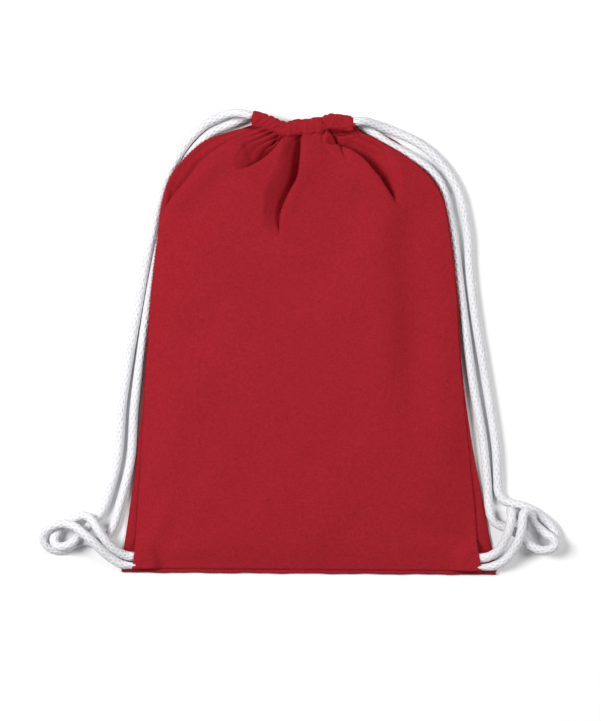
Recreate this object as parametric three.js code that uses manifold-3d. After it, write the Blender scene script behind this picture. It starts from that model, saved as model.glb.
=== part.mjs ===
// Drawstring backpack lying on its back: a cotton bag gathered at the neck by two drawcords,
// each sewn into a bottom corner so that the cords double as shoulder straps.
// Millimetres, +X to the bag's right as seen from the front, +Y towards the neck, +Z up.
// The origin is the middle of the bag's footprint, on the surface that it lies on.
import * as THREE from 'three';
import { mergeVertices } from 'three/addons/utils/BufferGeometryUtils.js';
import Module from 'manifold-3d';

const wasm = await Module();
wasm.setup();

// --- driving dimensions ---------------------------------------------------------------------
const CLOTH = 1.2;              // thickness given to the doubled cotton
const GAP = 0.35;               // clearance between neighbouring pieces
const SEAM_HALF = 1.0;          // half the height between the two panels at a side seam
const CORNER_SEAM_Z = 2.2;      // height of the side seam at the bottom corners
const SHOULDER_SEAM_Z = 11.3;   // height of the side seam where a cord passes under it
const SHELF = 13;               // width of the raised border of the back panel
const SHELF_FALL = 30;          // width over which the back panel falls to the surface
const CROWN_WIDTH = 95;         // distance from the seam at which the front is fully crowned
const BOTTOM_SEAM = 3;          // width of the bottom seam allowance

const NECK_LEFT = -56;          // ends of the gathered casings
const NECK_RIGHT = 44;
const CASING_LOW = 215.6;       // lower and upper side of the casings
const CASING_HIGH = 231.2;
const CASING_HEIGHT = 9;        // each casing, front to back
const FRONT_CASING_Z = 15;      // underside of the front casing
const SLIT = 20;                // length of the opening at each end of a casing
const CUT_PAST = 1;             // how far a cut goes past the face that it opens

const CORD = 8.8;               // free drawcord
const CORD_PRESSED = 6;         // drawcord inside the casing
const LEFT_CORD_Y = 226.9;      // where each drawcord runs through the casings
const RIGHT_CORD_Y = 220.2;
const FRONT_RUN_Z = FRONT_CASING_Z + CASING_HEIGHT / 2;
const BACK_RUN_Z = CASING_HEIGHT / 2;
const TURN_INSET = 11.5;        // centre of a drawcord's turn, in from the casing's end

const SEWN_END = { length: 16, width: 7.4, height: 4.6, z: 2.7 };
const ENTRY_LEFT = [[-175.3, -212.5], [-175.6, -221.7]];   // where the cords enter the corners
const ENTRY_RIGHT = [[170.7, -214], [172.3, -223.2]];
const HUMP = 6.2;               // rise of the front panel over the sewn cord ends
const HUMP_FULL = 14;           // it keeps that height this far out, and ends at HUMP_RADIUS
const HUMP_RADIUS = 34;
const HUMP_INSET = 6;           // its middle, in from where the cords enter

const THREAD = 0.7;             // rows of sewing thread, width and height
const BOTTOM_ROW_ENDS = [0.04, 0.96];      // parts of the bottom edge between which its row runs
const CASING_ROW_INSET = 3;     // from a casing's ends to the ends of its row
const SIDE_ROW_START = 0.05;    // a side row's first place along EDGES
const SIDE_ROW_STOP = 1.2;      // and how far it stops short of the last one

// Pairs of points on the left and right edge, from the bottom corners to the neck.
const EDGES = [
  [[-187, -225], [187, -227.5]],
  [[-184, -205], [182, -205]],
  [[-177, -157], [173, -157]],
  [[-169, -95], [162, -100]],
  [[-161, -15], [150, -15]],
  [[-156, 50], [145, 50]],
  [[-149, 110], [138, 110]],
  [[-144, 145], [131, 144]],
  [[-136, 167], [119, 164]],
  [[-122, 184.5], [95, 184]],
  [[-102, 200.5], [66, 201]],
  [[-74, 210], [50, 208.5]],
  [[-56, 214.2], [44, 214.2]],
];
const SEAM_WIDTH = [                                               // rolled seams, left and right
  [10.8, 10.4, 6.2, 2.8, 2.8, 2.8, 2.8, 2.8, 2.8, 2.8, 2.8, 2.8, 2.8],
  [14.4, 13.4, 7.6, 2.8, 2.8, 2.8, 2.8, 2.8, 2.8, 2.8, 2.8, 2.8, 2.8],
];
const SEAM_RISE = [0, 0, 0.1, 0.35, 0.8, 1, 1, 1, 1, 1, 1, 1, 1];  // 0 corner, 1 shoulder height
const CROWN = [6, 11, 17, 19, 19, 19, 19, 19, 19, 19, 19, 19.5, 19.5];
const NECK_SAG = [0, 0, 0, 0, 0, 0, 0, 2, 6, 9, 9, 4, 0];          // dip of the rows towards the middle
const LAST = EDGES.length - 1;

// --- cord routes, from the casing's end to the bottom corner ----------------------------------
const LEFT_FRONT_ROUTE = [
  [-56.7, 226.9, 19.5], [-61, 227.2, 19.3], [-68, 228.8, 17.6], [-77, 229, 13.4], [-88, 226, 8.6],
  [-103, 218.6, 5.4], [-120, 202.7, 4.7], [-132, 184, 4.7], [-141.5, 163, 4.7], [-148.5, 140, 4.7],
  [-156, 110, 4.7], [-162.5, 80, 4.7], [-171, 33, 4.7], [-178.5, -10, 4.7], [-185.8, -58, 4.7],
  [-190.5, -113, 4.7], [-198, -145, 4.7], [-203, -160, 4.7], [-208, -170, 4.7], [-215, -178, 5.4],
  [-223, -186, 8.2], [-231, -194, 12.6], [-239.5, -200.5, 14.6], [-249, -202, 14.2],
  [-254, -196.5, 11.6], [-252, -189.8, 8.2], [-247, -183, 7], [-240, -177.5, 7], [-231, -173, 9.5],
  [-223, -171.5, 13], [-216, -175.5, 16.5], [-210, -184, 18.5], [-204, -193, 17.5], [-197, -201.5, 14],
  [-189, -208, 10.2], [-182, -211.6, 8.3], [-175.9, -212.5, 8.1],
];
const LEFT_BACK_ROUTE = [
  [-56.7, 226.9, 4.6], [-60.5, 226.6, 4.7], [-67, 223.4, 4.7], [-80, 218.2, 4.7], [-98, 209.8, 4.7],
  [-112, 196.5, 4.7], [-123.5, 180, 4.7], [-132.5, 159.5, 4.7], [-139.5, 137, 4.7], [-147, 107.5, 4.7],
  [-153.3, 78, 4.7], [-161.3, 33, 4.7], [-168.5, -16, 4.7], [-174.5, -66, 4.7], [-177.5, -113.5, 4.7],
  [-184, -144, 4.7], [-189, -162, 4.7], [-193.5, -178, 4.7], [-199, -190, 4.7], [-206.5, -197, 4.7],
  [-215.5, -198.5, 4.7], [-224, -197.5, 4.7], [-233, -199.5, 4.7], [-243, -205, 4.7],
  [-253.5, -206, 4.7], [-262, -201, 5.4], [-264.6, -193, 8], [-260.5, -185.6, 12.6],
  [-252, -180.6, 16.2], [-242, -179.5, 17.5], [-232, -182.5, 19.5], [-224, -188.5, 21],
  [-215, -196.5, 20.5], [-206.6, -205.4, 17], [-197.6, -213.4, 12.5], [-187.6, -219.8, 9.2],
  [-181.4, -221.2, 8.2], [-176.2, -221.7, 8.1],
];
const RIGHT_FRONT_ROUTE = [
  [44.7, 220.2, 19.5], [49, 220.5, 19.3], [55, 220.8, 17.8], [62, 219.4, 14.4], [73, 215.8, 8.8],
  [85, 211.5, 5.4], [108.6, 200.5, 4.7], [126.5, 186, 4.7], [140.5, 168.5, 4.7], [150.2, 149.5, 4.7],
  [154.8, 132, 4.7], [158.8, 108, 4.7], [161, 69.5, 4.7], [167, 21.5, 4.7], [175, -26.5, 4.7],
  [181.5, -66, 4.7], [187, -105.5, 4.7], [188.6, -135, 4.7], [189.5, -148, 4.7], [194, -156, 4.7],
  [203, -159.5, 4.7], [213, -162, 4.7], [223, -166.5, 4.7], [233, -173.5, 4.7], [241, -181, 4.7],
  [246.5, -190, 4.7], [246.5, -198.5, 4.7], [240, -204, 4.7], [231, -205.6, 4.7], [221.5, -201, 4.7],
  [214, -193.5, 4.7], [208, -184.5, 4.7], [203.8, -175.5, 5.8], [201.8, -168.6, 9.6],
  [200.8, -166.3, 15], [201.2, -169, 20], [200.5, -176.5, 22.8], [198.8, -185, 21.5],
  [195.5, -194.5, 17.5], [190, -204.5, 12.8], [182, -211.3, 9.2], [176, -213.6, 8.2],
  [171.3, -214, 8.1],
];
const RIGHT_BACK_ROUTE = [
  [44.7, 220.2, 4.6], [48.5, 219.8, 4.7], [54, 216.6, 5], [64.6, 209.9, 5.8], [78, 200.5, 6],
  [101.5, 187.5, 5.4], [122.3, 172, 4.7], [133.5, 155.5, 4.7], [139.7, 132, 4.7], [144.5, 108, 4.7],
  [147.2, 88, 4.7], [151.5, 53, 4.7], [157.8, 4, 4.7], [164.5, -43, 4.7], [174, -97.5, 4.7],
  [178.2, -140, 4.7], [179.6, -160, 4.7], [182.2, -173, 4.7], [187.5, -180, 5.2], [195.5, -183.2, 8.6],
  [204.5, -187.5, 12.8], [213, -194, 14.2], [221.5, -201.5, 14.2], [230.5, -205.6, 14.4],
  [239.5, -205, 14.4], [245.2, -200.5, 14.2], [243.2, -194.4, 13.2], [237.5, -190.5, 10.5],
  [231.5, -185.5, 7.6], [225, -179.2, 8], [221.2, -172, 13], [217.3, -167.4, 17.8], [213.6, -168.6, 21],
  [212, -176, 23.6], [211, -185.5, 24.4], [208, -196, 22.8], [202, -208, 16.5], [193.5, -217.3, 11.2],
  [184, -222, 8.8], [178, -223, 8.2], [172.9, -223.2, 8.1],
];

// --- fineness of the meshes -------------------------------------------------------------------
const CORNER_ROWS = 5;          // rows of a panel or seam from the bottom corners up to EDGES' third pair
const CORNER_TOP = 2;
const BODY_ROWS = 14;           // rows above them
const BOTTOM_STEPS = 12;
const CASING_ROW_STEPS = 10;
const CORD_STEPS = 68;
const CORD_SIDES = 8;
const LOOP_STEPS = 44;
const LOOP_SIDES = 10;
const TURN_STEPS = 10;
const CURVE_DIVISIONS = 800;    // lengths measured along a route when it is divided
const HALF_COLUMNS = [0, 0.02, 0.045, 0.075, 0.11, 0.16, 0.23, 0.32, 0.41, 0.5];   // of a panel's width

// --- materials ----------------------------------------------------------------------------------
const cloth = (shade) => new THREE.MeshStandardMaterial({ color: shade, roughness: 0.92, metalness: 0 });
const RED = 0xa82230;
const RED_SEAM = 0x9c1e2b;
const RED_THREAD = 0x8c1a26;
const WHITE = 0xf2f2f4;

const bag = new THREE.Group();

function add(name, geometry, colour) {
  const mesh = new THREE.Mesh(geometry, cloth(colour));
  mesh.name = name;
  bag.add(mesh);
  return mesh;
}

// --- helpers ------------------------------------------------------------------------------------
const mix = (a, b, k) => a + (b - a) * k;

function smooth(a, b, x) {
  const k = Math.min(1, Math.max(0, (x - a) / (b - a)));
  return k * k * (3 - 2 * k);
}

function along(values, t) {
  const i = Math.min(LAST - 1, Math.floor(t));
  return mix(values[i], values[i + 1], t - i);
}

// The outline's left and right edge as smooth curves through the pairs above.
const sideCurve = (side) => new THREE.CatmullRomCurve3(
  EDGES.map((pair) => new THREE.Vector3(pair[side][0], pair[side][1], 0)), false, 'centripetal');
const sides = [sideCurve(0), sideCurve(1)];
const edgePoint = (side, t) => sides[side].getPoint(t / LAST);

// A point set in from the outline by some distance: level with it along the steep lower edges,
// square to it round the shoulders.
function insetPoint(side, t, inset) {
  const tangent = sides[side].getTangent(t / LAST);
  const inward = side === 0 ? 1 : -1;
  const offset = new THREE.Vector3(tangent.y, -tangent.x * smooth(1, 3, t), 0).normalize();
  return edgePoint(side, t).addScaledVector(offset, inward * inset);
}

// The stitch line of a side seam, where the panels end.
const stitchPoint = (side, t) => insetPoint(side, t, along(SEAM_WIDTH[side], t));

const seamHeight = (t) => mix(CORNER_SEAM_Z, SHOULDER_SEAM_Z, smooth(0, 1, along(SEAM_RISE, t)));

function hump(x, y) {
  const near = [[ENTRY_LEFT, 1], [ENTRY_RIGHT, -1]].map(([entry, inward]) => {
    const cx = entry[0][0] + inward * HUMP_INSET;
    const cy = (entry[0][1] + entry[1][1]) / 2;
    return Math.hypot(x - cx, y - cy);
  });
  return HUMP * (1 - smooth(HUMP_FULL, HUMP_RADIUS, Math.min(...near)));
}

// A point of a panel: s runs 0..1 from the left stitch line to the right one, t along EDGES.
function panelPoint(s, t, front) {
  const left = stitchPoint(0, t);
  const right = stitchPoint(1, t);
  const x = mix(left.x, right.x, s);
  const y = mix(left.y, right.y, s) - along(NECK_SAG, t) * 4 * s * (1 - s);
  const inward = Math.min(s, 1 - s) * (right.x - left.x);
  const neck = smooth(LAST - 1, LAST, t);
  const seam = seamHeight(t);
  if (front) {
    const edge = mix(seam + SEAM_HALF + hump(x, y), FRONT_RUN_Z, neck);
    const top = Math.max(along(CROWN, t), edge);
    return new THREE.Vector3(x, y, mix(edge, top, smooth(0, CROWN_WIDTH, inward)));
  }
  const edge = mix(seam - SEAM_HALF, BACK_RUN_Z, neck);
  const low = mix(CLOTH / 2, BACK_RUN_Z, smooth(LAST - 3, LAST, t));
  return new THREE.Vector3(x, y, mix(edge, Math.min(edge, low), smooth(SHELF, SHELF + SHELF_FALL, inward)));
}

// A closed sheet of even height made of rows of points.
function sheetGeometry(rows, height) {
  const n = rows[0].length;
  const positions = [];
  [-height / 2, height / 2].forEach((lift) => {
    rows.forEach((row) => row.forEach((p) => positions.push(p.x, p.y, p.z + lift)));
  });
  const top = rows.length * n;
  const index = [];
  const quad = (a, b, c, d) => index.push(a, b, c, a, c, d);
  for (let j = 0; j < rows.length - 1; j += 1) {
    for (let i = 0; i < n - 1; i += 1) {
      const a = j * n + i;
      quad(a, a + n, a + n + 1, a + 1);
      quad(top + a, top + a + 1, top + a + n + 1, top + a + n);
    }
    const l = j * n;
    const r = l + n - 1;
    quad(l, top + l, top + l + n, l + n);
    quad(r, r + n, top + r + n, top + r);
  }
  for (let i = 0; i < n - 1; i += 1) {
    const last = (rows.length - 1) * n + i;
    quad(i, i + 1, top + i + 1, top + i);
    quad(last, top + last, top + last + 1, last + 1);
  }
  const geometry = new THREE.BufferGeometry();
  geometry.setAttribute('position', new THREE.Float32BufferAttribute(positions, 3));
  geometry.setIndex(index);
  return geometry;
}

function gridRows(tValues, sValues, point) {
  return tValues.map((t) => sValues.map((s) => point(s, t)));
}

const range = (a, b, n) => Array.from({ length: n + 1 }, (_, i) => mix(a, b, i / n));

// Places along EDGES, closer together by the corners.
function rowPlaces(from, to) {
  return [...range(from, CORNER_TOP, CORNER_ROWS), ...range(CORNER_TOP, to, BODY_ROWS).slice(1)];
}

// A round or oval section swept along a curve.
function tubeGeometry(curve, width, height, sidesCount, steps) {
  const section = new THREE.Shape(range(0, 2 * Math.PI, sidesCount).slice(0, -1).map(
    (a) => new THREE.Vector2(Math.cos(a) * height / 2, Math.sin(a) * width / 2)));
  return new THREE.ExtrudeGeometry(section, { steps, extrudePath: curve, bevelEnabled: false });
}

const smoothCurve = (points) => new THREE.CatmullRomCurve3(
  points.map((p) => new THREE.Vector3(...p)), false, 'centripetal');

function toManifold(geometry) {
  const bare = geometry.clone();
  bare.deleteAttribute('normal');
  bare.deleteAttribute('uv');
  const merged = mergeVertices(bare, 1e-4);
  return new wasm.Manifold(new wasm.Mesh({
    numProp: 3,
    vertProperties: new Float32Array(merged.attributes.position.array),
    triVerts: new Uint32Array(merged.index.array),
  }));
}

function fromManifold(solid) {
  const mesh = solid.getMesh();
  const geometry = new THREE.BufferGeometry();
  geometry.setAttribute('position', new THREE.BufferAttribute(mesh.vertProperties, 3));
  geometry.setIndex(new THREE.BufferAttribute(mesh.triVerts, 1));
  return geometry;
}

function block(x0, x1, y0, y1, z0, z1) {
  const geometry = new THREE.BoxGeometry(x1 - x0, y1 - y0, z1 - z0);
  return geometry.translate((x0 + x1) / 2, (y0 + y1) / 2, (z0 + z1) / 2);
}

// --- panels -------------------------------------------------------------------------------------
function addPanels() {
  const t = [...rowPlaces(0, LAST - 1), LAST - 0.5, LAST];
  const across = [...HALF_COLUMNS, ...HALF_COLUMNS.slice(0, -1).reverse().map((v) => 1 - v)];
  add('front_panel', sheetGeometry(gridRows(t, across, (u, v) => panelPoint(u, v, true)), CLOTH), RED);
  add('back_panel', sheetGeometry(gridRows(t, across, (u, v) => panelPoint(u, v, false)), CLOTH), RED);
}

// --- seams --------------------------------------------------------------------------------------
// Each side seam is the rolled strip between the stitch line and the bag's edge.
function addSideSeam(name, side) {
  const t = rowPlaces(0, LAST - 1);
  const point = (k, v) => {
    const inner = along(SEAM_WIDTH[side], v) - THREAD - 3 * GAP;
    return insetPoint(side, v, mix(inner, 0, k)).setZ(seamHeight(v));
  };
  const k = side === 0 ? [1, 0] : [0, 1];
  add(name, sheetGeometry(gridRows(t, k, point), 2 * SEAM_HALF), RED_SEAM);
}

function addSideStitching(name, side) {
  const t = rowPlaces(SIDE_ROW_START, LAST - SIDE_ROW_STOP);
  const row = (offset, v) => {
    const inset = along(SEAM_WIDTH[side], v) - GAP - offset;
    return insetPoint(side, v, inset).setZ(seamHeight(v));
  };
  const offsets = side === 0 ? [THREAD, 0] : [0, THREAD];
  add(name, sheetGeometry(gridRows(t, offsets, row), THREAD), RED_THREAD);
}

function bottomRow(offset, from, to, z) {
  const left = EDGES[0][0];
  const right = EDGES[0][1];
  return range(from, to, BOTTOM_STEPS).map((s) => new THREE.Vector3(
    mix(left[0], right[0], s), mix(left[1], right[1], s) - offset, z));
}

function addBottomSeam() {
  const z = CORNER_SEAM_Z;
  const rows = [bottomRow(BOTTOM_SEAM + GAP, 0, 1, z), bottomRow(THREAD + 2 * GAP, 0, 1, z)];
  add('bottom_seam', sheetGeometry(rows, 2 * SEAM_HALF), RED_SEAM);
  const stitching = [THREAD + GAP, GAP].map((offset) => bottomRow(offset, ...BOTTOM_ROW_ENDS, z));
  add('bottom_stitching', sheetGeometry(stitching, THREAD), RED_THREAD);
}

// --- casings ------------------------------------------------------------------------------------
// A casing is a flattened tunnel of cloth, open at both ends, with a slit towards the other casing
// at each end, where the drawcord that turns back there passes from one casing to the other.
function addCasing(name, z0, slitUp) {
  const z1 = z0 + CASING_HEIGHT;
  const y0 = CASING_LOW + CLOTH;
  const y1 = CASING_HIGH - CLOTH;
  const middle = (CASING_LOW + CASING_HIGH) / 2;
  const [left, right] = [NECK_LEFT - CUT_PAST, NECK_RIGHT + CUT_PAST];
  const [low, high] = slitUp ? [z0 + 2 * CLOTH, z1 + CUT_PAST] : [z0 - CUT_PAST, z1 - 2 * CLOTH];
  const tunnel = toManifold(block(NECK_LEFT, NECK_RIGHT, CASING_LOW, CASING_HIGH, z0, z1));
  const cuts = [
    block(left, right, y0, y1, z0 + CLOTH, z1 - CLOTH),
    block(left, NECK_LEFT + SLIT, y0, middle, low, high),
    block(NECK_RIGHT - SLIT, right, middle, y1, low, high),
  ];
  const solid = cuts.reduce((rest, cut) => rest.subtract(toManifold(cut)), tunnel);
  add(name, fromManifold(solid), RED);
}

function addCasingStitching(name, z) {
  const places = range(NECK_LEFT + CASING_ROW_INSET, NECK_RIGHT - CASING_ROW_INSET, CASING_ROW_STEPS);
  const rows = [THREAD, 0].map(
    (offset) => places.map((x) => new THREE.Vector3(x, CASING_LOW - GAP - offset, z)));
  add(name, sheetGeometry(rows, THREAD), RED_THREAD);
}

// --- drawcords ----------------------------------------------------------------------------------
function addStrand(name, route) {
  const curve = smoothCurve(route);
  curve.arcLengthDivisions = CURVE_DIVISIONS;
  add(name, tubeGeometry(curve, CORD, CORD, CORD_SIDES, CORD_STEPS), WHITE);
}

// The drawcord's length inside the casings: along the front one, round, and back along the other.
function addCasingLoop(name, y, exitX, turnX) {
  const away = Math.sign(turnX - exitX);
  const radius = (FRONT_RUN_Z - BACK_RUN_Z) / 2;
  const middle = (FRONT_RUN_Z + BACK_RUN_Z) / 2;
  const turn = range(-Math.PI / 2, Math.PI / 2, TURN_STEPS).map((a) => new THREE.Vector3(
    turnX + away * radius * Math.cos(a), y, middle - radius * Math.sin(a)));
  const points = [new THREE.Vector3(exitX, y, FRONT_RUN_Z), ...turn, new THREE.Vector3(exitX, y, BACK_RUN_Z)];
  const curve = new THREE.CatmullRomCurve3(points, false, 'centripetal');
  add(name, tubeGeometry(curve, CORD_PRESSED, CORD_PRESSED, LOOP_SIDES, LOOP_STEPS), WHITE);
}

function addSewnEnd(name, entry, inward) {
  const start = entry[0] + inward * GAP;
  const [x0, x1] = [start, start + inward * SEWN_END.length].sort((a, b) => a - b);
  const curve = new THREE.LineCurve3(
    new THREE.Vector3(x0, entry[1], SEWN_END.z + SEWN_END.height / 2),
    new THREE.Vector3(x1, entry[1], SEWN_END.z + SEWN_END.height / 2));
  add(name, tubeGeometry(curve, SEWN_END.width, SEWN_END.height, LOOP_SIDES, 2), WHITE);
}

// --- assembly -----------------------------------------------------------------------------------
addPanels();
addSideSeam('side_seam_left', 0);
addSideSeam('side_seam_right', 1);
addSideStitching('side_stitching_left', 0);
addSideStitching('side_stitching_right', 1);
addBottomSeam();
addCasing('front_casing', FRONT_CASING_Z, false);
addCasing('back_casing', 0, true);
addCasingStitching('front_casing_stitching', FRONT_RUN_Z);
addCasingStitching('back_casing_stitching', BACK_RUN_Z);
addStrand('drawcord_left_front_strand', LEFT_FRONT_ROUTE);
addStrand('drawcord_left_back_strand', LEFT_BACK_ROUTE);
addCasingLoop('drawcord_left_casing_loop', LEFT_CORD_Y, NECK_LEFT, NECK_RIGHT - TURN_INSET);
addStrand('drawcord_right_front_strand', RIGHT_FRONT_ROUTE);
addStrand('drawcord_right_back_strand', RIGHT_BACK_ROUTE);
addCasingLoop('drawcord_right_casing_loop', RIGHT_CORD_Y, NECK_RIGHT, NECK_LEFT + TURN_INSET);
ENTRY_LEFT.forEach((entry, i) => addSewnEnd(`drawcord_left_sewn_end_${i + 1}`, entry, 1));
ENTRY_RIGHT.forEach((entry, i) => addSewnEnd(`drawcord_right_sewn_end_${i + 1}`, entry, -1));

export default bag;
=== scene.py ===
import math

import bpy
import numpy as np
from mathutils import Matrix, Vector


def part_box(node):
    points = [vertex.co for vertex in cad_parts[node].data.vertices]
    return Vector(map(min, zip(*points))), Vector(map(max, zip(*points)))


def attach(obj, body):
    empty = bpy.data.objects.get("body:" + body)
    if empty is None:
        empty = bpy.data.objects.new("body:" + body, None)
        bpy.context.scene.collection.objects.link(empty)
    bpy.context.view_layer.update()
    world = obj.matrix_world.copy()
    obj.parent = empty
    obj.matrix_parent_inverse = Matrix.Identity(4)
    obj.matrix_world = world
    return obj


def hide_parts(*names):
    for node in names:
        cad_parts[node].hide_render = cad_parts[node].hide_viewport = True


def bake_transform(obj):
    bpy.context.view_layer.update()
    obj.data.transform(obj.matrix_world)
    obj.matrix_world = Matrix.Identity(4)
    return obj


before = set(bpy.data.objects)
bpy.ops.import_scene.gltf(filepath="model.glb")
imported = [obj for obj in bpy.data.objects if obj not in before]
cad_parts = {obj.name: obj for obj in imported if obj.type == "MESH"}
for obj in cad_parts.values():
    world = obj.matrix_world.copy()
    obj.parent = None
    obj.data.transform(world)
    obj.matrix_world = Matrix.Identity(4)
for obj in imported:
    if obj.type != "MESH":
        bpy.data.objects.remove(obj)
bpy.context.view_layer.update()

MM = 0.001

# --- driving dimensions, in millimetres unless a name says otherwise -----------------------------
CORD = 9.0                    # free drawcord
CORD_PRESSED = 6.2            # drawcord inside the casings
CLOTH = 0.7                   # visible thickness of the cotton
CORNER_SEAM_Z = 2.2
SHOULDER_SEAM_Z = 11.3
SEAM_HALF = 1.0
CASING_BOXES = [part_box(node) for node in ("front_casing", "back_casing")]
NECK_LEFT = CASING_BOXES[0][0][0] / MM
NECK_RIGHT = CASING_BOXES[0][1][0] / MM
FRONT_RUN_Z, BACK_RUN_Z = [(low[2] + high[2]) / 2 / MM for low, high in CASING_BOXES]

# Pairs of points on the left and right edge of the bag, from the bottom corners to the neck.
EDGES = np.array([
    [[-187, -225], [187, -227.5]],
    [[-184, -205], [182, -205]],
    [[-177, -157], [173, -157]],
    [[-169, -95], [162, -100]],
    [[-161, -15], [150, -15]],
    [[-156, 50], [145, 50]],
    [[-149, 110], [138, 110]],
    [[-144, 145], [131, 144]],
    [[-136, 167], [119, 164]],
    [[-122, 184.5], [95, 184]],
    [[-102, 200.5], [66, 201]],
    [[-74, 210], [50, 208.5]],
    [[-56, 214.2], [44, 214.2]],
], float)
LAST = len(EDGES) - 1
SEAM_WIDTH = np.array([
    [10.8, 10.4, 6.2, 2.8, 2.8, 2.8, 2.8, 2.8, 2.8, 2.8, 2.8, 2.8, 2.8],
    [14.4, 13.4, 7.6, 2.8, 2.8, 2.8, 2.8, 2.8, 2.8, 2.8, 2.8, 2.8, 2.8],
])
SEAM_RISE = [0, 0, 0.1, 0.35, 0.8, 1, 1, 1, 1, 1, 1, 1, 1]
CROWN = [3.6, 8, 13, 16.5, 18, 18, 18, 18.5, 19, 19.5, 20, 20.5, 21]
NECK_SAG = [0, 0, 0, 0, 0, 0, 0, 2, 6, 9, 9, 4, 0]
SEAM_SPREAD = (0.3, 2.0)      # how far the seams lean out over the cords, left and right

# Drawcord routes from the casing's end to the bottom corner, as in the CAD source.
LEFT_FRONT_ROUTE = [
    [-56.7, 226.9, 19.5], [-61, 227.2, 19.3], [-68, 228.8, 17.6], [-77, 229, 13.4], [-88, 226, 8.6],
    [-103, 218.6, 5.4], [-120, 202.7, 4.7], [-132, 184, 4.7], [-141.5, 163, 4.7], [-148.5, 140, 4.7],
    [-156, 110, 4.7], [-162.5, 80, 4.7], [-171, 33, 4.7], [-178.5, -10, 4.7], [-185.8, -58, 4.7],
    [-190.5, -113, 4.7], [-198, -145, 4.7], [-203, -160, 4.7], [-208, -170, 4.7], [-215, -178, 5.4],
    [-223, -186, 8.2], [-231, -194, 12.6], [-239.5, -200.5, 14.6], [-249, -202, 14.2],
    [-254, -196.5, 11.6], [-252, -189.8, 8.2], [-247, -183, 7], [-240, -177.5, 7], [-231, -173, 9.5],
    [-223, -171.5, 13], [-216, -175.5, 16.5], [-210, -184, 18.5], [-204, -193, 17.5],
    [-197, -201.5, 14], [-189, -208, 10.2], [-182, -211.6, 8.3], [-175.9, -212.5, 8.1],
]
LEFT_BACK_ROUTE = [
    [-56.7, 226.9, 4.6], [-60.5, 226.6, 4.7], [-67, 223.4, 4.7], [-80, 218.2, 4.7], [-98, 209.8, 4.7],
    [-112, 196.5, 4.7], [-123.5, 180, 4.7], [-132.5, 159.5, 4.7], [-139.5, 137, 4.7],
    [-147, 107.5, 4.7], [-153.3, 78, 4.7], [-161.3, 33, 4.7], [-168.5, -16, 4.7], [-174.5, -66, 4.7],
    [-177.5, -113.5, 4.7], [-184, -144, 4.7], [-189, -162, 4.7], [-193.5, -178, 4.7],
    [-199, -190, 4.7], [-206.5, -197, 4.7], [-215.5, -198.5, 4.7], [-224, -197.5, 4.7],
    [-233, -199.5, 4.7], [-243, -205, 4.7], [-253.5, -206, 4.7], [-262, -201, 5.4], [-264.6, -193, 8],
    [-260.5, -185.6, 12.6], [-252, -180.6, 16.2], [-242, -179.5, 17.5], [-232, -182.5, 19.5],
    [-224, -188.5, 21], [-215, -196.5, 20.5], [-206.6, -205.4, 17], [-197.6, -213.4, 12.5],
    [-187.6, -219.8, 9.2], [-181.4, -221.2, 8.2], [-176.2, -221.7, 8.1],
]
RIGHT_FRONT_ROUTE = [
    [44.7, 220.2, 19.5], [49, 220.5, 19.3], [55, 220.8, 17.8], [62, 219.4, 14.4], [73, 215.8, 8.8],
    [85, 211.5, 5.4], [108.6, 200.5, 4.7], [126.5, 186, 4.7], [140.5, 168.5, 4.7], [150.2, 149.5, 4.7],
    [154.8, 132, 4.7], [158.8, 108, 4.7], [161, 69.5, 4.7], [167, 21.5, 4.7], [175, -26.5, 4.7],
    [181.5, -66, 4.7], [187, -105.5, 4.7], [188.6, -135, 4.7], [189.5, -148, 4.7], [194, -156, 4.7],
    [203, -159.5, 4.7], [213, -162, 4.7], [223, -166.5, 4.7], [233, -173.5, 4.7], [241, -181, 4.7],
    [246.5, -190, 4.7], [246.5, -198.5, 4.7], [240, -204, 4.7], [231, -205.6, 4.7], [221.5, -201, 4.7],
    [214, -193.5, 4.7], [208, -184.5, 4.7], [203.8, -175.5, 5.8], [201.8, -168.6, 9.6],
    [200.8, -166.3, 15], [201.2, -169, 20], [200.5, -176.5, 22.8], [198.8, -185, 21.5],
    [195.5, -194.5, 17.5], [190, -204.5, 12.8], [182, -211.3, 9.2], [176, -213.6, 8.2],
    [171.3, -214, 8.1],
]
RIGHT_BACK_ROUTE = [
    [44.7, 220.2, 4.6], [48.5, 219.8, 4.7], [54, 216.6, 5], [64.6, 209.9, 5.8], [78, 200.5, 6],
    [101.5, 187.5, 5.4], [122.3, 172, 4.7], [133.5, 155.5, 4.7], [139.7, 132, 4.7], [144.5, 108, 4.7],
    [147.2, 88, 4.7], [151.5, 53, 4.7], [157.8, 4, 4.7], [164.5, -43, 4.7], [174, -97.5, 4.7],
    [178.2, -140, 4.7], [179.6, -160, 4.7], [182.2, -173, 4.7], [187.5, -180, 5.2],
    [195.5, -183.2, 8.6], [204.5, -187.5, 12.8], [213, -194, 14.2], [221.5, -201.5, 14.2],
    [230.5, -205.6, 14.4], [239.5, -205, 14.4], [245.2, -200.5, 14.2], [243.2, -194.4, 13.2],
    [237.5, -190.5, 10.5], [231.5, -185.5, 7.6], [225, -179.2, 8], [221.2, -172, 13],
    [217.3, -167.4, 17.8], [213.6, -168.6, 21], [212, -176, 23.6], [211, -185.5, 24.4],
    [208, -196, 22.8], [202, -208, 16.5], [193.5, -217.3, 11.2], [184, -222, 8.8],
    [178, -223, 8.2], [172.9, -223.2, 8.1],
]


# --- geometry helpers -----------------------------------------------------------------------------
def smooth(a, b, x):
    """0 up to a and 1 from b on, with a soft step between."""
    k = np.clip((np.asarray(x, float) - a) / (b - a), 0, 1)
    return k * k * (3 - 2 * k)


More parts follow.
